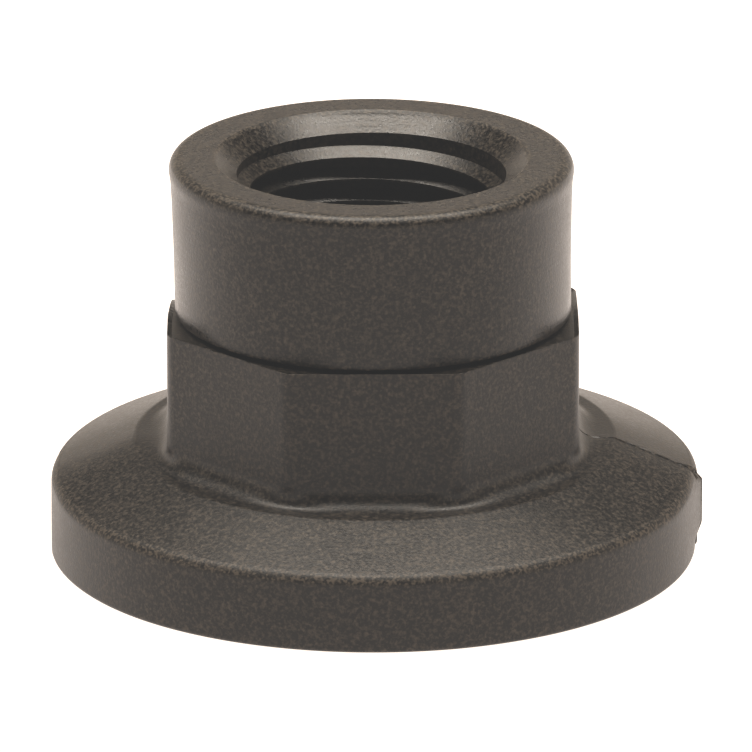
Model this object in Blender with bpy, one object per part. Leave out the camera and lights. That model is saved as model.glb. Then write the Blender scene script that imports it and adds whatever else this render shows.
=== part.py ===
"""Flanged nut with an octagonal neck and a round threaded collar, moulded in black glass-filled nylon.

Two mouldings make the nut. The flange base is a round flange with a low conical top and an octagonal
neck for an 18 mm spanner. The threaded bush drops into it from above: its round collar bears on the
top of the neck, and its octagonal sleeve fills the neck's pocket, so the neck turns the thread.

Units are metres, +Z is up. The origin is where the bore's axis meets the flange's bearing face.
The eight flats of the neck face +X, +Y, -X, -Y and the directions half-way between.
"""

import math

import bmesh
import bpy

MM = 0.001

# Overall sizes
TOTAL_HEIGHT = 18.05 * MM
EDGE_RADIUS = 0.25 * MM  # soft outer edges of a moulding

# Flange
FLANGE_RADIUS = 14.20 * MM
RIM_HEIGHT = 3.65 * MM  # upright rim, up to where the conical top starts
PAD_RADIUS = 10.55 * MM  # the cone ends at this flat round pad under the neck
PAD_HEIGHT = 5.20 * MM
FLASH_HEIGHT = 0.30 * MM  # ridge of flash on the rim at +X, on the mould's parting plane
FLASH_HALF_ANGLE = math.radians(0.9)

# Octagonal neck
ACROSS_FLATS = 18.0 * MM
CORNER_SOFTENING = 0.10 * MM  # how far a corner stands back from the sharp octagon's corner
NECK_TOP = 11.00 * MM
FOOT_WIDTH = 0.70 * MM  # concave fillet between the neck and the pad
FOOT_HEIGHT = 0.50 * MM

# Threaded bush
COLLAR_TOP_RADIUS = 8.90 * MM
COLLAR_BASE_RADIUS = 8.70 * MM
COLLAR_FOOT = 0.35 * MM  # concave fillet under the collar, cut back to the neck's flats
MOUTH_RADIUS = 6.81 * MM
THROAT_RADIUS = 5.68 * MM  # the mouth's countersink ends here
THROAT_DEPTH = 0.77 * MM
THREAD_MAJOR_RADIUS = 6.10 * MM  # M12 fine, 1 mm pitch
THREAD_MINOR_RADIUS = 5.46 * MM
THREAD_PITCH = 1.00 * MM
THREAD_START = math.radians(16.4)  # azimuth of the helix where a crest's lower edge is level with the origin
SLEEVE_ACROSS_FLATS = 14.6 * MM
SLEEVE_BOTTOM = 1.80 * MM

# Fit between the two mouldings
CLEARANCE = 0.30 * MM
FLOOR_HOLE_RADIUS = 6.40 * MM  # hole in the base's floor, clear of the screw
FLOOR_HOLE_CHAMFER = 0.50 * MM

# Facets
SEGMENTS = 96
THREAD_SEGMENTS = 36
ARC_STEPS = 3
OCTAGON_SIDES = 8

COLLAR_COLOUR = (0.060, 0.052, 0.045, 1.0)
BASE_COLOUR = (0.054, 0.050, 0.043, 1.0)

THREAD_FLANK = (THREAD_MAJOR_RADIUS - THREAD_MINOR_RADIUS) * math.tan(math.radians(30))
THREAD_CREST = 0.10 * MM


def clear_scene():
    for obj in list(bpy.data.objects):
        bpy.data.objects.remove(obj, do_unlink=True)


def ring_angles():
    """Azimuths of a ring's points, with a narrow extra pair beside +X for the ridge of flash."""
    angles = [2 * math.pi * i / SEGMENTS for i in range(SEGMENTS)]
    angles += [FLASH_HALF_ANGLE, 2 * math.pi - FLASH_HALF_ANGLE]
    return sorted(angles)


def circle(radius, z):
    return [(radius * math.cos(a), radius * math.sin(a), z) for a in ring_angles()]


def flashed_circle(radius, z):
    """A circle with the ridge of flash at +X."""
    ring = circle(radius, z)
    ring[0] = (radius + FLASH_HEIGHT, 0.0, z)
    return ring


def octagon(inradius, z):
    """An octagon with a flat towards +X and slightly softened corners, on the same azimuths as a circle."""
    ring = []
    corner = inradius / math.cos(math.pi / OCTAGON_SIDES) - CORNER_SOFTENING
    for a in ring_angles():
        side = 2 * math.pi / OCTAGON_SIDES
        off_flat = (a + side / 2) % side - side / 2
        radius = min(inradius / math.cos(off_flat), corner)
        ring.append((radius * math.cos(a), radius * math.sin(a), z))
    return ring


def within_neck(ring):
    """Draw the points that stand outside the neck's flats back to the flats."""
    limits = octagon(ACROSS_FLATS / 2, 0.0)
    drawn = []
    for (x, y, z), (limit_x, limit_y, _) in zip(ring, limits):
        scale = min(1.0, math.hypot(limit_x, limit_y) / math.hypot(x, y))
        drawn.append((x * scale, y * scale, z))
    return drawn


def arc(centre_r, centre_z, width, height, start_deg, end_deg):
    """(radius, z) points along part of an ellipse, both ends included."""
    points = []
    for i in range(ARC_STEPS + 1):
        a = math.radians(start_deg + (end_deg - start_deg) * i / ARC_STEPS)
        points.append((centre_r + width * math.cos(a), centre_z + height * math.sin(a)))
    return points


def skin(bm, rings):
    """Bridge each ring to the next one with quads, and return the rings' vertices."""
    rows = [[bm.verts.new(p) for p in ring] for ring in rings]
    for low, high in zip(rows, rows[1:]):
        for i in range(len(low)):
            j = (i + 1) % len(low)
            bm.faces.new((low[i], low[j], high[j], high[i]))
    return rows


def make_material(name, colour, roughness):
    material = bpy.data.materials.new(name)
    material.use_nodes = True
    shader = material.node_tree.nodes["Principled BSDF"]
    shader.inputs["Base Color"].default_value = colour
    shader.inputs["Roughness"].default_value = roughness
    shader.inputs["Metallic"].default_value = 0.0
    return material


def make_object(name, bm, material):
    """Turn a bmesh into a named object, smooth except at its real edges."""
    bmesh.ops.recalc_face_normals(bm, faces=bm.faces)
    mesh = bpy.data.meshes.new(name)
    bm.to_mesh(mesh)
    bm.free()
    mesh.shade_smooth()
    mesh.set_sharp_from_angle(angle=math.radians(30))
    mesh.materials.append(material)
    obj = bpy.data.objects.new(name, mesh)
    bpy.context.scene.collection.objects.link(obj)
    return obj


def flange_base():
    """Flange and octagonal neck in one moulding, with the pocket for the bush and a hole in its floor."""
    neck = ACROSS_FLATS / 2
    pocket = SLEEVE_ACROSS_FLATS / 2 + CLEARANCE
    floor = SLEEVE_BOTTOM - CLEARANCE
    inner_rim = FLANGE_RADIUS - EDGE_RADIUS
    rim_top = RIM_HEIGHT - EDGE_RADIUS
    cone_angle = math.degrees(math.atan2(PAD_HEIGHT - RIM_HEIGHT, FLANGE_RADIUS - PAD_RADIUS))

    rings = [circle(FLOOR_HOLE_RADIUS + FLOOR_HOLE_CHAMFER, 0.0)]
    for r, z in arc(inner_rim, EDGE_RADIUS, EDGE_RADIUS, EDGE_RADIUS, -90, 0):
        rings.append(circle(r, z) if z < EDGE_RADIUS / 2 else flashed_circle(r, z))
    for r, z in arc(inner_rim, rim_top, EDGE_RADIUS, EDGE_RADIUS, 0, 90 - cone_angle):
        rings.append(flashed_circle(r, z) if z < rim_top + EDGE_RADIUS / 2 else circle(r, z))
    rings.append(circle(PAD_RADIUS, PAD_HEIGHT))
    foot = arc(neck + FOOT_WIDTH, PAD_HEIGHT + FOOT_HEIGHT, FOOT_WIDTH, FOOT_HEIGHT, -90, -180)
    rings += [octagon(r, z) for r, z in foot]
    rings += [octagon(neck, NECK_TOP), octagon(pocket, NECK_TOP), octagon(pocket, floor)]
    rings += [circle(FLOOR_HOLE_RADIUS, floor), circle(FLOOR_HOLE_RADIUS, FLOOR_HOLE_CHAMFER)]

    bm = bmesh.new()
    rows = skin(bm, rings)
    for i in range(len(rows[0])):
        j = (i + 1) % len(rows[0])
        bm.faces.new((rows[-1][i], rows[-1][j], rows[0][j], rows[0][i]))
    return make_object("flange_base", bm, make_material("base_nylon", BASE_COLOUR, 0.45))


def bush_blank():
    """The bush before it is threaded: collar and sleeve, with a conical countersink at each end."""
    sleeve = SLEEVE_ACROSS_FLATS / 2
    collar_bottom = NECK_TOP + CLEARANCE
    core = THREAD_MINOR_RADIUS - EDGE_RADIUS
    lead_in = THREAD_MAJOR_RADIUS + EDGE_RADIUS
    throat_bottom = TOTAL_HEIGHT - THROAT_DEPTH - THREAD_FLANK

    rings = [circle(core, SLEEVE_BOTTOM + lead_in - core), circle(lead_in, SLEEVE_BOTTOM)]
    rings += [octagon(sleeve, SLEEVE_BOTTOM), octagon(sleeve, collar_bottom)]
    foot_top = collar_bottom + COLLAR_FOOT
    for r, z in arc(COLLAR_BASE_RADIUS + COLLAR_FOOT, foot_top, COLLAR_FOOT, COLLAR_FOOT, -90, -180):
        rings.append(within_neck(circle(r, z)))
    edge = arc(COLLAR_TOP_RADIUS - EDGE_RADIUS, TOTAL_HEIGHT - EDGE_RADIUS, EDGE_RADIUS, EDGE_RADIUS, 0, 90)
    rings += [circle(r, z) for r, z in edge]
    rings += [circle(MOUTH_RADIUS, TOTAL_HEIGHT), circle(THROAT_RADIUS, TOTAL_HEIGHT - THROAT_DEPTH)]
    rings += [circle(THROAT_RADIUS, throat_bottom), circle(core, throat_bottom)]

    bm = bmesh.new()
    rows = skin(bm, rings)
    bm.faces.new(rows[0])
    bm.faces.new(rows[-1])
    return make_object("threaded_bush", bm, make_material("bush_nylon", COLLAR_COLOUR, 0.45))


def thread_cutter():
    """A right-hand 60 degree screw, longer than the bush at both ends, that cuts the bore and its thread."""
    tooth = [(THREAD_MINOR_RADIUS, 0.0), (THREAD_MINOR_RADIUS, THREAD_CREST),
             (THREAD_MAJOR_RADIUS, THREAD_CREST + THREAD_FLANK),
             (THREAD_MAJOR_RADIUS, THREAD_PITCH - THREAD_FLANK)]
    start = -2 * THREAD_PITCH
    turns = math.ceil((TOTAL_HEIGHT - start) / THREAD_PITCH) + 1
    bm = bmesh.new()
    columns = []
    for i in range(THREAD_SEGMENTS * (turns + 1) + 1):
        a = THREAD_START + 2 * math.pi * i / THREAD_SEGMENTS
        rise = start + THREAD_PITCH * i / THREAD_SEGMENTS
        columns.append([bm.verts.new((r * math.cos(a), r * math.sin(a), rise + z)) for r, z in tooth])
    for i in range(THREAD_SEGMENTS * turns):
        column, following = columns[i], columns[i + 1]
        above, above_following = columns[i + THREAD_SEGMENTS], columns[i + THREAD_SEGMENTS + 1]
        left = column + [above[0]]
        right = following + [above_following[0]]
        for k in range(len(tooth)):
            bm.faces.new((left[k], right[k], right[k + 1], left[k + 1]))
    last = THREAD_SEGMENTS * turns
    low_rim = [columns[i][0] for i in range(THREAD_SEGMENTS + 1)] + columns[0][:0:-1]
    high_rim = [columns[last + i][0] for i in range(THREAD_SEGMENTS + 1)] + columns[last][:0:-1]
    for rim, z in ((low_rim, start), (high_rim, start + THREAD_PITCH * (turns + 1))):
        centre = bm.verts.new((0.0, 0.0, z))
        for i in range(len(rim)):
            bm.faces.new((centre, rim[i], rim[(i + 1) % len(rim)]))
    for column in columns[last + 1:]:
        for vert in column[1:]:
            bm.verts.remove(vert)
    cutter = make_object("thread_cutter", bm, make_material("cutter", BASE_COLOUR, 0.5))
    cutter.hide_render = True
    cutter.display_type = "WIRE"
    return cutter


def threaded_bush():
    bush = bush_blank()
    cut = bush.modifiers.new("thread", "BOOLEAN")
    cut.operation = "DIFFERENCE"
    cut.solver = "EXACT"
    cut.object = thread_cutter()
    return bush


def main():
    clear_scene()
    flange_base()
    threaded_bush()


main()
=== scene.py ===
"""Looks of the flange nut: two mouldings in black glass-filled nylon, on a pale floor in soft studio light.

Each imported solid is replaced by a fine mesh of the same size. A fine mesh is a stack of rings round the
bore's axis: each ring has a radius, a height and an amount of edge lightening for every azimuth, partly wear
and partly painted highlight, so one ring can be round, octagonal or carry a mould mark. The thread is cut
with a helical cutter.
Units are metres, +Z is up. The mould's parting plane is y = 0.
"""

import math

import bmesh
import bpy
import numpy as np
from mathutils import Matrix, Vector, noise


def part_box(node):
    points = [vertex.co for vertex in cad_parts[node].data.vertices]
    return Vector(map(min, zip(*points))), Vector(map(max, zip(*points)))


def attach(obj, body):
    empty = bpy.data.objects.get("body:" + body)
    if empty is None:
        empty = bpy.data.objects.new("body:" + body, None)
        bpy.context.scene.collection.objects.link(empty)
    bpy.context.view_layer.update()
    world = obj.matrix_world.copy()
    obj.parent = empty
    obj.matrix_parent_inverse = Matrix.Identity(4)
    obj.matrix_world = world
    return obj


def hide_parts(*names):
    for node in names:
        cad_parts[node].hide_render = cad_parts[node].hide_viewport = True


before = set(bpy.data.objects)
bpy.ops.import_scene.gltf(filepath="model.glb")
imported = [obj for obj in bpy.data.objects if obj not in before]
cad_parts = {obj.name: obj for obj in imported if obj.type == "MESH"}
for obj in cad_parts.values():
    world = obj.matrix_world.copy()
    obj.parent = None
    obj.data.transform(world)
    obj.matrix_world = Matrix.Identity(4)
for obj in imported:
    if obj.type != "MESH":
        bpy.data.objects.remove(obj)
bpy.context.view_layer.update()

MM = 0.001
base_low, base_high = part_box("flange_base")
bush_low, bush_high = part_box("threaded_bush")

# Sizes read from the frame
FLANGE_RADIUS = base_high.y - 0.012 * MM
NECK_TOP = base_high.z
TOTAL_HEIGHT = bush_high.z - 0.04 * MM
SLEEVE_BOTTOM = bush_low.z

# Sizes repeated from the model's driving dimensions
RIM_HEIGHT = 3.65 * MM
PAD_RADIUS = 10.55 * MM
PAD_HEIGHT = 5.20 * MM
FOOT_WIDTH = 1.0 * MM
FOOT_HEIGHT = 0.60 * MM
NECK_INRADIUS = 9.0 * MM
SLEEVE_INRADIUS = 7.3 * MM
CLEARANCE = 0.30 * MM
FLOOR_HOLE_RADIUS = 6.40 * MM
FLOOR_HOLE_CHAMFER = 0.50 * MM
MOUTH_RADIUS = 6.81 * MM
THROAT_RADIUS = 5.90 * MM
THROAT_DEPTH = 0.77 * MM
THREAD_MAJOR_RADIUS = 6.10 * MM
THREAD_MINOR_RADIUS = 5.46 * MM
THREAD_PITCH = 1.00 * MM
THREAD_START = math.radians(16.4)

# Fine shape
EDGE_RADIUS = 0.25 * MM
RIM_EDGE = 0.60 * MM
RIM_RISE = 0.05 * MM
RIM_EDGE_DROP = 0.66  # how much of the rim's edge lies below its nominal height
RIM_WEAR_AND_SHEEN = (0.3, 0.9)  # the part of the rim's edge that is rubbed and painted lighter as a highlight
RIM_WANDER = -0.012 * MM
RIM_WANDER_SIZE = 4.0 * MM
FRONT_DIP = 0.33 * MM
DIP_LENGTH = 6.0 * MM
PAD_EDGE = 0.5 * MM
NECK_CORNER_RADIUS = 0.90 * MM
NECK_EDGE = 0.025 * MM
FOOT_ROUNDING = 0.85  # how round the foot has become where it meets the pad, 1 being a full circle
FOOT_ROUNDING_POWER = 0.6
LIP_CHIP = 0.10 * MM
LIP_CHIP_SIZE = 0.35 * MM
LIP_CHIP_FLOOR = 0.25
# how far the painted glints and wear at the neck's front corners reach
LIP_GLINT_REACH = math.radians(5.0)
OCTAGON_SIDES = 8
SEAM = 0.05 * MM
LEDGE_SINK = 0.15 * MM
LEDGE_LIP = 0.10 * MM
COLLAR_RADII = ((11.0, 8.69), (13.3, 8.70), (14.6, 8.725), (16.2, 8.765), (17.0, 8.80), (17.45, 8.865))
COLLAR_EDGE_WIDTH = 0.50 * MM
COLLAR_EDGE_HEIGHT = 0.55 * MM
COLLAR_LOW_EDGE = 0.06 * MM
# how much lighter the collar's low edge is painted, all round
COLLAR_LOW_LIGHTENING = 0.6
COLLAR_CHIP = 0.05 * MM
COLLAR_CHIP_SIZE = 0.45 * MM
COLLAR_WANDER = 0.010 * MM
COLLAR_WANDER_SIZE = 5.0 * MM
FLANK_TOP = 0.47 * MM  # the thread's shape along one pitch: up-facing flank, root, down-facing flank, crest
FLANK_LOW = 0.075 * MM
ROOT_TOP = 0.80 * MM
CREST_LOW = -0.02 * MM
ROOT_RADIUS = 5.90 * MM
CREST_RADIUS = 5.33 * MM
THREAD_RAMP = 0.07  # part of a turn over which the first turn runs out
THREAD_TUCK = 0.02 * MM
MOUTH_EDGE = 0.06 * MM
LEAN = 0.080 * MM  # how far the top of the collar stands off the axis, towards -X
MOULD_SHIFT = 0.09 * MM  # the rear half of the flange stands this far towards +X
STEP_WIDTH_RIGHT = 0.08 * MM
STEP_WIDTH_LEFT = 3.0 * MM

# Wear and damage
NICK_X = 3.0 * MM
NICK_Z = 7.57 * MM
NICK_RADIUS = 0.16 * MM
NICK_DEPTH = 0.05 * MM
NICK_SQUASH = 1.6
CORNER_DROPS = ((-1, 0.85 * MM), (1, 0.30 * MM))  # side and depth of the neck's two worn rear corners
CORNER_DROP_WIDTH = 1.0 * MM
CORNER_DROP_HEIGHT = 2.0 * MM
CORNER_DROP_START = -0.8 * MM
CORNER_DROP_LENGTH = 4.5 * MM
CORNER_DROP_END = 6 * MM
CORNER_PULL = 0.22  # how far a worn corner also moves inwards, as a part of its drop
RIM_PITS = ((-1, 2.10 * MM, 0.26 * MM), (1, -0.50 * MM, 0.22 * MM))  # side, distance behind y = 0, size

# Flash and parting line
FLASH_HEIGHT = 0.29 * MM
FLASH_BACK = 0.05 * MM
FLASH_BASE = 3.2 * MM
FLASH_LOW_RAMP = 0.25
FLASH_HIGH_RAMP = 0.10
FLASH_ROUGHNESS = 0.07
FLASH_LIMIT = base_high.x - 0.01 * MM
FLASH_LOW = 0.45 * MM
FLASH_HIGH = 3.45 * MM
LINE_START = -0.42 * MM  # y of the parting line at the neck
LINE_DRIFT = -0.15 * MM  # and how much that changes towards the rim
LINE_REACH = 1.2 * MM
LINE_HALF_WIDTH = 0.045 * MM
LINE_DEPTH = 0.05 * MM
LINE_WAVE = 0.05 * MM
LINE_LIP = 0.012 * MM
LINE_LIP_WIDTH = 0.5 * MM

# Light, floor and view
GROUND = 3.0  # half the floor's width
LIGHT_HEIGHT = 0.5
LIGHT_SIDE = 31.0  # degrees from straight up, to each side
# Name, degrees in front of straight up, degrees behind it, radiance
LIGHTS = (("softbox", -9.0, 30.0, 3.3), ("strip_light", 2.5, 9.0, 30.0))
LIGHT_COLOUR = (1.0, 0.91, 0.80)
SKY_TINT = (0.86, 0.72)
SKY_STOPS = ((0.0, 1.6), (0.15, 1.6), (0.25, 0.45), (0.34, 0.32), (0.42, 0.12), (0.53, 0.02), (1.0, 0.02))
VEIL = 0.026

RING_POINTS = 420
THREAD_POINTS = 96

COARSE = np.linspace(0.0, 2 * math.pi, RING_POINTS, endpoint=False)
FINE = np.radians(np.concatenate([np.arange(-3.6, 0.6, 0.13), 180 + np.arange(-0.6, 0.7, 0.2)]))
PHI = np.unique(np.round(np.concatenate([COARSE, FINE]) % (2 * math.pi), 6))
COS, SIN = np.cos(PHI), np.sin(PHI)


def clamp(value):
    """The value, held between 0 and 1."""
    return min(1.0, max(0.0, value))


def rough(x, y, z, size, seed=0.0):
    """Smooth noise from -1 to 1 at a point, with lumps of about the given size."""
    return noise.noise(Vector((x / size + seed, y / size - seed, z / size)))


def ring(radius, z, wear_and_highlight=0.0):
    """Points of a ring as an array with columns x, y, z and lightening, which is partly wear and partly
    painted highlight.
    """
    radius = np.broadcast_to(radius, PHI.shape)
    z = np.broadcast_to(z, PHI.shape)
    return np.stack([radius * COS, radius * SIN, z, np.broadcast_to(wear_and_highlight, PHI.shape)], axis=1)


def octagon_radius(inradius, corner_radius=NECK_CORNER_RADIUS):
    """Radius at each azimuth of an octagon with a flat towards +X and rounded corners."""
    side = 2 * math.pi / OCTAGON_SIDES
    off_flat = np.abs((PHI + side / 2) % side - side / 2)
    off_corner = side / 2 - off_flat
    centre = (inradius - corner_radius) / math.cos(side / 2)
    reach = np.maximum(corner_radius**2 - (centre * np.sin(off_corner)) ** 2, 0.0)
    rounded = centre * np.cos(off_corner) + np.sqrt(reach)
    tangent = math.atan((inradius - corner_radius) * math.tan(side / 2) / inradius)
    return np.where(off_flat > tangent, rounded, inradius / np.cos(off_flat))


def arc(centre_r, centre_z, width, height, start_deg, end_deg, steps):
    """(radius, z) points along part of an ellipse, both ends included."""
    angles = np.radians(np.linspace(start_deg, end_deg, steps + 1))
    return [(centre_r + width * math.cos(a), centre_z + height * math.sin(a)) for a in angles]


def run(start, end, steps):
    """(radius, z) points along a straight line, without its two ends."""
    return [tuple(np.array(start) + (np.array(end) - np.array(start)) * i / steps) for i in range(1, steps)]


def skin(rings, closed):
    """A bmesh of quads between each ring and the next; closed joins the last ring to the first."""
    bm = bmesh.new()
    # This layer says how much each point is painted lighter: partly rubbed wear, partly painted highlight
    # along edges.
    wear_and_highlight = bm.verts.layers.float.new("wear_and_highlight")
    rows = []
    for points in rings:
        row = []
        for x, y, z, amount in points:
            vert = bm.verts.new((x, y, z))
            vert[wear_and_highlight] = amount
            row.append(vert)
        rows.append(row)
    pairs = list(zip(rows, rows[1:]))
    if closed:
        pairs.append((rows[-1], rows[0]))
    for low, high in pairs:
        for i in range(len(PHI)):
            j = (i + 1) % len(PHI)
            bm.faces.new((low[i], low[j], high[j], high[i]))
    if not closed:
        bm.faces.new(rows[0])
        bm.faces.new(rows[-1])
    bmesh.ops.recalc_face_normals(bm, faces=bm.faces)
    return bm


def new_object(name, bm):
    mesh = bpy.data.meshes.new(name)
    bm.to_mesh(mesh)
    bm.free()
    obj = bpy.data.objects.new(name, mesh)
    bpy.context.scene.collection.objects.link(obj)
    return obj


def add_flash(points):
    """The thin fin of flash that stands on the rim at +X."""
    for p in points:
        x, y, z = p[:3]
        if x < 0 or not -FLASH_BASE < y < FLASH_BACK:
            continue
        along = (z - FLASH_LOW) / (FLASH_HIGH - FLASH_LOW)
        if not 0 < along < 1:
            continue
        ends = min(1.0, along / FLASH_LOW_RAMP, (1 - along) / FLASH_HIGH_RAMP)
        uneven = 0.93 + FLASH_ROUGHNESS * rough(0, 0, z, 0.4 * MM)
        height = FLASH_HEIGHT * ends * uneven
        side = (1 + y / FLASH_BASE) ** 2 if y < 0 else 1 - y / FLASH_BACK
        p[0] = min(x + height * side, FLASH_LIMIT)


def shift_rear(points):
    """The rear mould half's offset: a fine step at +X along the parting line, and a soft one at -X."""
    across = np.clip((points[:, 0] - NECK_INRADIUS) / (FLANGE_RADIUS - NECK_INRADIUS), 0, 1)
    centre = (LINE_START + LINE_DRIFT * across) * (points[:, 2] > RIM_HEIGHT)
    width = np.where(points[:, 0] > 0, STEP_WIDTH_RIGHT, STEP_WIDTH_LEFT)
    ramp = np.clip((points[:, 1] - centre) / width + 0.5, 0.0, 1.0)
    points[:, 0] += MOULD_SHIFT * ramp


def cut_parting_line(points):
    """The jagged line across the flange's top at +X, a little in front of y = 0."""
    for p in points:
        x, y, z = p[:3]
        if x < NECK_INRADIUS or abs(y) > LINE_REACH:
            continue
        across = (x - NECK_INRADIUS) / (FLANGE_RADIUS - NECK_INRADIUS)
        centre = LINE_START + LINE_DRIFT * across + LINE_WAVE * rough(x, 0, 0, 0.45 * MM, 3.0)
        width = LINE_HALF_WIDTH * (1 + 0.5 * rough(x, 0, 0, 0.3 * MM, 7.0))
        depth = LINE_DEPTH * (1 + 0.8 * rough(x, 0, 0, 0.5 * MM, 5.0))
        p[2] -= depth * max(0.0, 1 - abs(y - centre) / width)
        if y > centre:
            p[2] += LINE_LIP * max(0.0, 1 - (y - centre) / LINE_LIP_WIDTH)


def wander(points, amount, size, seed):
    """Move points in or out a little, so that a moulded surface isn't perfectly true."""
    for p in points:
        x, y, z = p[:3]
        r = math.hypot(x, y)
        scale = 1 + amount * rough(x, y, z, size, seed) / r
        p[0] *= scale
        p[1] *= scale


def pit_rim(points):
    """Small pits in the rim's top edge, one at each side."""
    for side, behind, size in RIM_PITS:
        for p in points:
            away = math.hypot(p[1] - behind, (p[0] - side * FLANGE_RADIUS) / 2)
            if away < size:
                p[0] -= side * (size - away)


def dip_front(points, amount):
    """The flange is a little thinner at the front than at the back."""
    forward = np.clip(-points[:, 1] / DIP_LENGTH, 0, 1)
    upward = np.clip(points[:, 2] / RIM_HEIGHT, 0, 1)
    points[:, 2] -= FRONT_DIP * amount * upward * forward * forward * (3 - 2 * forward)


def base_rings():
    inner_rim = FLANGE_RADIUS - EDGE_RADIUS
    rim_top = RIM_HEIGHT + RIM_RISE - RIM_EDGE_DROP * RIM_EDGE
    cone_angle = math.degrees(math.atan2(PAD_HEIGHT - RIM_HEIGHT, FLANGE_RADIUS - PAD_RADIUS))
    pocket = octagon_radius(SLEEVE_INRADIUS + CLEARANCE)
    floor = SLEEVE_BOTTOM - CLEARANCE
    hole_edge = FLOOR_HOLE_RADIUS + FLOOR_HOLE_CHAMFER

    bottom = [(hole_edge, 0.0)] + run((hole_edge, 0.0), (inner_rim, 0.0), 10)
    rings = [ring(r, z) for r, z in bottom]

    rim = arc(inner_rim, EDGE_RADIUS, EDGE_RADIUS, EDGE_RADIUS, -90, 0, 7)
    rim += run((FLANGE_RADIUS, EDGE_RADIUS), (FLANGE_RADIUS, rim_top), 22)
    edge = arc(FLANGE_RADIUS - RIM_EDGE, rim_top, RIM_EDGE, RIM_EDGE, 0, 90 - cone_angle, 14)
    slope = math.radians(cone_angle)
    pad_r = PAD_RADIUS - PAD_EDGE * math.tan(slope / 2)
    pad = arc(pad_r, PAD_HEIGHT - PAD_EDGE, PAD_EDGE, PAD_EDGE, 90 - cone_angle, 90, 8)
    top = edge + run(edge[-1], pad[0], 30) + pad
    for r, z in rim + top:
        # This band of the rim's edge is painted lighter: a painted highlight along the edge, with wear.
        rubbed_and_highlight = RIM_WEAR_AND_SHEEN[0] < (z - rim_top) / RIM_EDGE < RIM_WEAR_AND_SHEEN[1] and r > FLANGE_RADIUS - RIM_EDGE
        points = ring(r, z, 1.0 if rubbed_and_highlight else 0.0)
        wander(points, RIM_WANDER, RIM_WANDER_SIZE, 1.0)
        shift_rear(points)
        add_flash(points)
        dip_front(points, 1.0)
        if z > rim_top:
            pit_rim(points)
            cut_parting_line(points)
        rings.append(points)

    foot = arc(NECK_INRADIUS + FOOT_WIDTH, PAD_HEIGHT + FOOT_HEIGHT, FOOT_WIDTH, FOOT_HEIGHT, -90, -180, 12)
    for r, z in foot:
        outward = (r - NECK_INRADIUS) / FOOT_WIDTH
        rounding = FOOT_ROUNDING * outward**FOOT_ROUNDING_POWER
        points = ring(octagon_radius(r, NECK_CORNER_RADIUS + (r - NECK_CORNER_RADIUS) * rounding), z)
        dip_front(points, 1 - (z - PAD_HEIGHT) / FOOT_HEIGHT)
        cut_parting_line(points)
        rings.append(points)

    neck = run(foot[-1], (NECK_INRADIUS, NECK_TOP - NECK_EDGE), 40)
    for r, z in neck:
        points = ring(octagon_radius(r), z)
        nick_front(points)
        wear_rear_corners(points)
        rings.append(points)
    for r, z in arc(NECK_INRADIUS - NECK_EDGE, NECK_TOP - NECK_EDGE, NECK_EDGE, NECK_EDGE, 0, 90, 4):
        points = ring(octagon_radius(r), z, lip_wear_and_glints())
        for p in points:
            chip = max(0.0, rough(p[0], p[1], 0, LIP_CHIP_SIZE, 11.0) - LIP_CHIP_FLOOR)
            p[2] -= LIP_CHIP * chip * (z - NECK_TOP + 2 * NECK_EDGE) / (2 * NECK_EDGE)
        wear_rear_corners(points)
        rings.append(points)
    ledge = NECK_TOP - LEDGE_SINK
    for r, z in run((NECK_INRADIUS - LEDGE_LIP, ledge), (SLEEVE_INRADIUS + CLEARANCE, ledge), 12):
        points = ring(octagon_radius(r), z)
        wear_rear_corners(points)
        rings.append(points)
    rings += [ring(pocket, ledge), ring(pocket, floor)]
    rings += [ring(FLOOR_HOLE_RADIUS, floor), ring(FLOOR_HOLE_RADIUS, FLOOR_HOLE_CHAMFER)]
    return rings


def nick_front(points):
    """A small bruise on the flat that faces -Y."""
    for p in points:
        away = math.hypot(p[0] - NICK_X, (p[2] - NICK_Z) * NICK_SQUASH)
        if p[1] < 0 and away < NICK_RADIUS:
            p[1] += NICK_DEPTH * (1 - away / NICK_RADIUS)
            p[3] = 1.0


def lip_wear_and_glints():
    """How much the neck's top edge is painted lighter at its two front corners: rubbed wear and painted
    glints.
    """
    front = 1.5 * math.pi
    corner = math.pi / OCTAGON_SIDES
    away = np.abs(np.abs(PHI - front) - corner)
    return np.clip(1.2 - away / LIP_GLINT_REACH, 0.0, 1.0)


def wear_rear_corners(points):
    """The neck's two rear side corners are cut down to the collar, the left one more than the right."""
    for p in points:
        x, y, z = p[:3]
        outward = clamp((math.hypot(x, y) - COLLAR_RADII[0][1] * MM) / CORNER_DROP_WIDTH)
        upward = clamp((z - NECK_TOP) / CORNER_DROP_HEIGHT + 1)
        rearward = clamp((y - CORNER_DROP_START) / CORNER_DROP_LENGTH)
        for side, drop in CORNER_DROPS:
            if x * side > 0 and y < CORNER_DROP_END:
                p[2] -= drop * outward * upward * rearward
                p[0] -= side * CORNER_PULL * drop * upward * rearward


def collar_radius(z):
    heights, radii = np.array(COLLAR_RADII).T * MM
    return float(np.interp(z, heights, radii))


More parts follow.
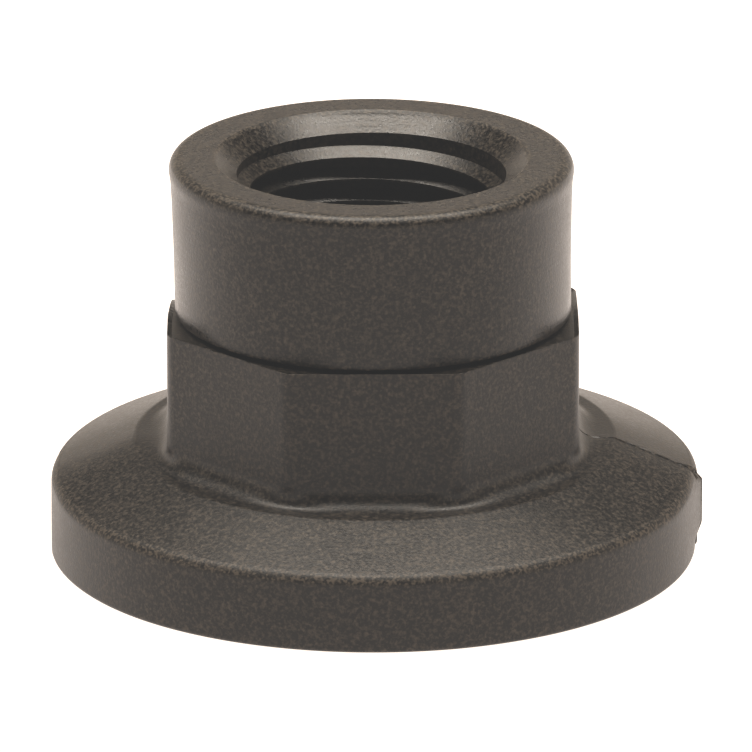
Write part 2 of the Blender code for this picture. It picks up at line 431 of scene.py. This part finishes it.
def bush_rings():
    """The bush before it is threaded."""
    core = THREAD_MINOR_RADIUS - EDGE_RADIUS
    lead_in = THREAD_MAJOR_RADIUS + EDGE_RADIUS
    collar_bottom = NECK_TOP + SEAM
    rings = [ring(core, SLEEVE_BOTTOM + lead_in - core), ring(lead_in, SLEEVE_BOTTOM)]
    sleeve = octagon_radius(SLEEVE_INRADIUS)
    rings += [ring(sleeve, SLEEVE_BOTTOM), ring(sleeve, collar_bottom)]

    low_r = collar_radius(collar_bottom)
    foot_top = collar_bottom + COLLAR_LOW_EDGE
    rings += [ring(r, collar_bottom) for r, z in run((SLEEVE_INRADIUS * 1.10, 0), (low_r - 0.1 * MM, 0), 4)]
    for r, z in arc(low_r - COLLAR_LOW_EDGE, foot_top, COLLAR_LOW_EDGE, COLLAR_LOW_EDGE, -90, 0, 5):
        # The collar's low edge is painted lighter all round.
        points = ring(r, z, COLLAR_LOW_LIGHTENING)
        for p in points:
            p[2] += COLLAR_CHIP * max(0.0, rough(p[0], p[1], 0, COLLAR_CHIP_SIZE, 2.0))
        rings.append(points)

    edge_bottom = TOTAL_HEIGHT - COLLAR_EDGE_HEIGHT
    line = [(collar_radius(z), z) for z in np.linspace(foot_top, edge_bottom, 48)[1:-1]]
    edge_r = collar_radius(edge_bottom) - COLLAR_EDGE_WIDTH
    edge = arc(edge_r, edge_bottom, COLLAR_EDGE_WIDTH, COLLAR_EDGE_HEIGHT, 0, 90, 12)
    inner = (MOUTH_RADIUS + MOUTH_EDGE, TOTAL_HEIGHT)
    throat = (THROAT_RADIUS, TOTAL_HEIGHT - THROAT_DEPTH)
    rings += [ring(r, z) for r, z in line]
    # The upper half of the collar's top edge is painted lighter: a painted highlight, with wear.
    rings += [ring(r, z, 1.0 if z > edge_bottom + 0.5 * COLLAR_EDGE_HEIGHT else 0.0) for r, z in edge]
    rings += [ring(r, z) for r, z in run(edge[-1], inner, 8)]
    # The mouth's edge is painted lighter, as rubbed wear and as a painted highlight.
    rings += [ring(r, z, 1.0) for r, z in (inner, (MOUTH_RADIUS, TOTAL_HEIGHT - 0.6 * MOUTH_EDGE))]
    rings += [ring(r, z) for r, z in run((MOUTH_RADIUS, TOTAL_HEIGHT - MOUTH_EDGE), throat, 8)]
    rings += [ring(*throat), ring(THROAT_RADIUS, thread_start()), ring(core, thread_start())]
    for points in rings[4:-3]:
        wander(points, COLLAR_WANDER, COLLAR_WANDER_SIZE, 4.0)
    return rings


def thread_start():
    """Height at each azimuth of the first turn's outer corner; the thread ends in a ramp at the front."""
    front = 1.5 * math.pi
    turn = (PHI - front) % (2 * math.pi) / (2 * math.pi)
    phase = (front - THREAD_START) / (2 * math.pi)
    below_top = (TOTAL_HEIGHT - FLANK_TOP) / THREAD_PITCH - phase
    lowest = FLANK_TOP + (math.floor(below_top) - 1 + phase) * THREAD_PITCH
    ramp = np.clip((turn - 1 + THREAD_RAMP) / THREAD_RAMP, 0, 1)
    return lowest + THREAD_PITCH * (turn - ramp) - THREAD_TUCK


def thread_cutter():
    """A right-hand 60 degree screw, longer than the bush at both ends."""
    tooth = [(CREST_RADIUS, CREST_LOW), (CREST_RADIUS, FLANK_LOW)]
    tooth += run(tooth[-1], (ROOT_RADIUS, FLANK_TOP), 4)
    tooth += [(ROOT_RADIUS, FLANK_TOP), (ROOT_RADIUS, ROOT_TOP)]
    start = -2 * THREAD_PITCH
    turns = math.ceil((TOTAL_HEIGHT - start) / THREAD_PITCH) + 1
    bm = bmesh.new()
    columns = []
    for i in range(THREAD_POINTS * (turns + 1) + 1):
        a = 2 * math.pi * i / THREAD_POINTS + THREAD_START
        rise = start + THREAD_PITCH * i / THREAD_POINTS
        columns.append([bm.verts.new((r * math.cos(a), r * math.sin(a), rise + z)) for r, z in tooth])
    for i in range(THREAD_POINTS * turns):
        left = columns[i] + [columns[i + THREAD_POINTS][0]]
        right = columns[i + 1] + [columns[i + THREAD_POINTS + 1][0]]
        for k in range(len(tooth)):
            bm.faces.new((left[k], right[k], right[k + 1], left[k + 1]))
    last = THREAD_POINTS * turns
    low_rim = [columns[i][0] for i in range(THREAD_POINTS + 1)] + columns[0][:0:-1]
    high_rim = [columns[last + i][0] for i in range(THREAD_POINTS + 1)] + columns[last][:0:-1]
    for rim, z in ((low_rim, start), (high_rim, start + THREAD_PITCH * (turns + 1))):
        centre = bm.verts.new((0.0, 0.0, z))
        for i in range(len(rim)):
            bm.faces.new((centre, rim[i], rim[(i + 1) % len(rim)]))
    for column in columns[last + 1:]:
        for vert in column[1:]:
            bm.verts.remove(vert)
    bmesh.ops.recalc_face_normals(bm, faces=bm.faces)
    return new_object("thread_cutter", bm)


def cut_thread(bush):
    cutter = thread_cutter()
    cut = bush.modifiers.new("thread", "BOOLEAN")
    cut.operation = "DIFFERENCE"
    cut.solver = "EXACT"
    cut.object = cutter
    graph = bpy.context.evaluated_depsgraph_get()
    mesh = bpy.data.meshes.new_from_object(bush.evaluated_get(graph))
    bush.modifiers.clear()
    bush.data = mesh
    bpy.data.objects.remove(cutter)


def lean(obj):
    """Shear the collar so that its top stands a little off the axis."""
    for vert in obj.data.vertices:
        if vert.co.z > NECK_TOP:
            vert.co.x -= LEAN * (vert.co.z - NECK_TOP) / (TOTAL_HEIGHT - NECK_TOP)


def node(tree, kind, **values):
    """A node of the given kind with its inputs set and its links made; an output socket makes a link."""
    made = tree.nodes.new(kind)
    for name, value in values.items():
        socket = made.inputs[name]
        if isinstance(value, bpy.types.NodeSocket):
            tree.links.new(value, socket)
        else:
            socket.default_value = value
    return made


def math_node(tree, operation, *values):
    made = tree.nodes.new("ShaderNodeMath")
    made.operation = operation
    for socket, value in zip(made.inputs, values):
        if isinstance(value, bpy.types.NodeSocket):
            tree.links.new(value, socket)
        else:
            socket.default_value = value
    return made.outputs[0]


def mapped(tree, value, low, high, out_low, out_high):
    """Map a value's range onto another, clamped."""
    made = node(tree, "ShaderNodeMapRange", Value=value)
    made.inputs["From Min"].default_value = low
    made.inputs["From Max"].default_value = high
    made.inputs["To Min"].default_value = out_low
    made.inputs["To Max"].default_value = out_high
    return made.outputs["Result"]


def nylon(name, dark, light, streaks, roughness):
    """Glass-filled nylon: fine moulded grain, pale fibre specks, faint flow streaks, and edges painted
    lighter, partly as rubbed wear and partly as painted highlights and glints.
    """
    material = bpy.data.materials.new(name)
    material.use_nodes = True
    tree = material.node_tree
    shader = tree.nodes["Principled BSDF"]
    shader.inputs["Metallic"].default_value = 0.0
    shader.inputs["IOR"].default_value = 1.36
    place = tree.nodes.new("ShaderNodeTexCoord").outputs["Object"]

    def noise_at(scale, detail, stretch=(1, 1, 1), harshness=0.5):
        mapping = node(tree, "ShaderNodeMapping", Vector=place, Scale=stretch)
        made = node(tree, "ShaderNodeTexNoise", Vector=mapping.outputs[0], Scale=scale, Detail=detail)
        made.inputs["Roughness"].default_value = harshness
        return made.outputs["Fac"]

    grain = noise_at(5200.0, 4.0, harshness=0.65)
    specks = noise_at(7500.0, 0.0)
    fine = noise_at(8500.0, 2.0, harshness=0.6)
    cloud = noise_at(420.0, 3.0)
    flow = noise_at(260.0, 2.0, stretch=(1, 1, 22))

    wear_and_highlight = tree.nodes.new("ShaderNodeAttribute")
    wear_and_highlight.attribute_name = "wear_and_highlight"
    # Marked edges are painted lighter in specks: rubbed wear, and painted highlights on the rims and glints
    # at the neck's corners.
    rubbed_and_highlight = math_node(tree, "MULTIPLY", wear_and_highlight.outputs["Fac"], mapped(tree, specks, 0.50, 0.68, 0.0, 1.0))
    speckle = mapped(tree, specks, 0.58, 0.80, 0.0, 0.45)
    tone = math_node(tree, "MULTIPLY_ADD", cloud, 0.20, mapped(tree, grain, 0.46, 0.68, -0.12, 0.72))
    tone = math_node(tree, "ADD", tone, speckle)
    tone = math_node(tree, "ADD", tone, rubbed_and_highlight)
    mix = tree.nodes.new("ShaderNodeMix")
    mix.data_type = "RGBA"
    mix.inputs[6].default_value = (*dark, 1.0)
    mix.inputs[7].default_value = (*light, 1.0)
    tree.links.new(tone, mix.inputs[0])
    tree.links.new(mix.outputs[2], shader.inputs["Base Color"])

    grain_gloss = mapped(tree, grain, 0.35, 0.65, roughness, roughness + 0.11)
    rough_value = math_node(tree, "MULTIPLY_ADD", cloud, 0.12, grain_gloss)
    rough_value = math_node(tree, "MULTIPLY_ADD", wear_and_highlight.outputs["Fac"], 0.12, rough_value)
    tree.links.new(rough_value, shader.inputs["Roughness"])

    height = math_node(tree, "MULTIPLY_ADD", grain, 0.6, fine)
    height = math_node(tree, "MULTIPLY_ADD", flow, streaks, height)
    height = math_node(tree, "MULTIPLY_ADD", cloud, 0.8, height)
    bump = node(tree, "ShaderNodeBump", Height=height, Strength=1.0, Distance=0.0115 * MM)
    tree.links.new(bump.outputs["Normal"], shader.inputs["Normal"])
    return material


def finish_piece(obj, material, name):
    mesh = obj.data
    mesh.shade_smooth()
    mesh.set_sharp_from_angle(angle=math.radians(25))
    mesh.materials.clear()
    mesh.materials.append(material)
    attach(obj, "root")
    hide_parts(name)


def make_stage():
    bm = bmesh.new()
    signs = ((-1, -1), (1, -1), (1, 1), (-1, 1))
    corners = [bm.verts.new((x * GROUND, y * GROUND, 0.0)) for x, y in signs]
    bm.faces.new(corners)
    floor = new_object("floor", bm)
    material = bpy.data.materials.new("glowing_floor")
    material.use_nodes = True
    tree = material.node_tree
    shader = tree.nodes["Principled BSDF"]
    shader.inputs["Base Color"].default_value = (0.02, 0.02, 0.02, 1.0)
    shader.inputs["Roughness"].default_value = 1.0
    shader.inputs["Specular IOR Level"].default_value = 0.0
    # The floor gives off its own light: dark in itself, glowing brighter towards the back, standing in for a
    # floor lit by lamps.
    shader.inputs["Emission Color"].default_value = (1.28, 1.12, 1.0, 1.0)
    place = node(tree, "ShaderNodeSeparateXYZ", Vector=tree.nodes.new("ShaderNodeTexCoord").outputs["Object"])
    glow = mapped(tree, place.outputs["Y"], -20 * MM, 25 * MM, 1.0, 1.5)
    tree.links.new(glow, shader.inputs["Emission Strength"])
    floor.data.materials.append(material)


def area_light(name, location, target, size, radiance, colour):
    light = bpy.data.lights.new(name, "AREA")
    light.shape = "RECTANGLE"
    light.size, light.size_y = size
    light.energy = radiance * math.pi * size[0] * size[1]
    light.color = colour
    obj = bpy.data.objects.new(name, light)
    bpy.context.scene.collection.objects.link(obj)
    obj.location = location
    obj.rotation_euler = (Vector(target) - Vector(location)).to_track_quat("-Z", "Y").to_euler()
    return obj


def make_light():
    """A studio that is bright low down and dark overhead, with a softbox and a narrow strip above."""
    world = bpy.data.worlds.new("studio")
    bpy.context.scene.world = world
    world.use_nodes = True
    tree = world.node_tree
    direction = tree.nodes.new("ShaderNodeTexCoord").outputs["Generated"]
    split = node(tree, "ShaderNodeSeparateXYZ", Vector=direction)
    ramp = node(tree, "ShaderNodeValToRGB", Fac=split.outputs["Z"])
    elements = ramp.color_ramp.elements
    while len(elements) < len(SKY_STOPS):
        elements.new(0.5)
    for element, (position, value) in zip(elements, SKY_STOPS):
        element.position = position
        element.color = (value, value * SKY_TINT[0], value * SKY_TINT[1], 1.0)
    tree.links.new(ramp.outputs["Color"], tree.nodes["Background"].inputs["Color"])
    for name, front, rear, radiance in LIGHTS:
        near, far, side = (LIGHT_HEIGHT * math.tan(math.radians(a)) for a in (-front, rear, LIGHT_SIDE))
        middle = (near + far) / 2
        above, below = (0, middle, LIGHT_HEIGHT), (0, middle, 0)
        area_light(name, above, below, (2 * side, far - near), radiance, LIGHT_COLOUR)


def make_camera():
    """A long lens looking down at the nut from the front; the shift places the nut in the frame."""
    elevation = math.radians(18.5)
    distance = 0.647
    view_width = 33.006 * MM
    target = Vector((0.0, 0.0, 9.1 * MM))
    back = Vector((0.0, -math.cos(elevation), math.sin(elevation)))
    data = bpy.data.cameras.new("camera")
    data.sensor_width = 36.0
    data.lens = data.sensor_width * distance / view_width
    data.shift_x = 0.0039
    data.shift_y = -0.0344
    data.clip_start, data.clip_end = 0.01, 10.0
    camera = bpy.data.objects.new("camera", data)
    bpy.context.scene.collection.objects.link(camera)
    camera.location = target + back * distance
    camera.rotation_euler = (-back).to_track_quat("-Z", "Y").to_euler()
    bpy.context.scene.camera = camera


def set_colours():
    """Plain display colours with no filmic curve, and the faint veil of a lens facing a white background."""
    settings = bpy.context.scene.view_settings
    settings.view_transform = "Standard"
    settings.look = "None"
    settings.exposure = 0.0
    settings.gamma = 1.0
    settings.use_curve_mapping = True
    settings.curve_mapping.black_level = (-VEIL, -VEIL, -VEIL)
    settings.curve_mapping.update()


make_camera()
set_colours()
make_stage()
make_light()

base = new_object("flange_base_skin", skin(base_rings(), closed=True))
finish_piece(base, nylon("base_nylon_look", (0.003, 0.0022, 0.0015), (0.050, 0.040, 0.030), 0.3, 0.29),
             "flange_base")
bush = new_object("threaded_bush_skin", skin(bush_rings(), closed=False))
cut_thread(bush)
lean(bush)
finish_piece(bush, nylon("bush_nylon_look", (0.003, 0.0022, 0.0015), (0.050, 0.041, 0.031), 0.8, 0.21),
             "threaded_bush")
